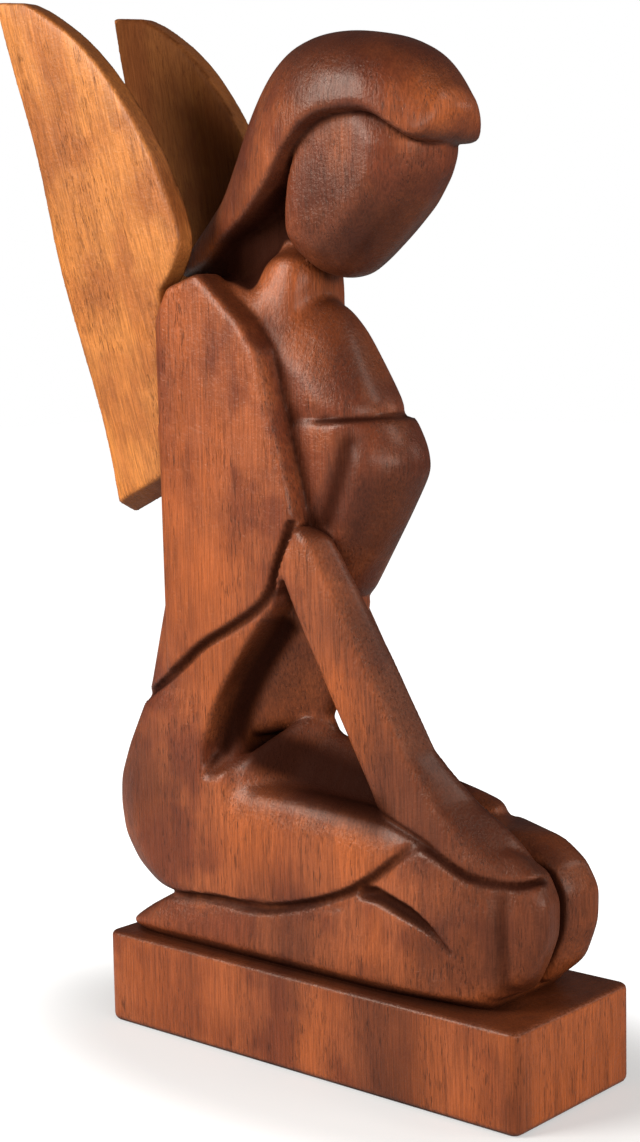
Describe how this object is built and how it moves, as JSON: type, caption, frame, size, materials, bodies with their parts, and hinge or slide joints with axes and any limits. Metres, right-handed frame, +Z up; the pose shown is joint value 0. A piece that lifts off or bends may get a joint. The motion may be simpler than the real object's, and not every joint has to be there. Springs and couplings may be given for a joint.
{
  "type": "carved wooden kneeling angel statuette",
  "caption": "Stylised angel kneeling with bowed head and arms reaching down to the lap, carved in one block with its plinth, with upright board wings set into the back.",
  "frame": {"origin": "centre of the plinth's underside", "axes": "+Z up, +X the way the figure faces, along the plinth's length, +Y the figure's left side"},
  "size_m": [0.1832, 0.0548, 0.2999],
  "materials": {
    "body_wood": "satin",
    "wing_wood": "satin",
    "dowel_wood": "plain"
  },
  "bodies": {
    "root": {"carved_figure": "body_wood", "right_wing": "wing_wood", "left_wing": "wing_wood", "right_wing_lower_dowel": "dowel_wood", "right_wing_upper_dowel": "dowel_wood", "left_wing_lower_dowel": "dowel_wood", "left_wing_upper_dowel": "dowel_wood"}
  },
  "joints": []
}
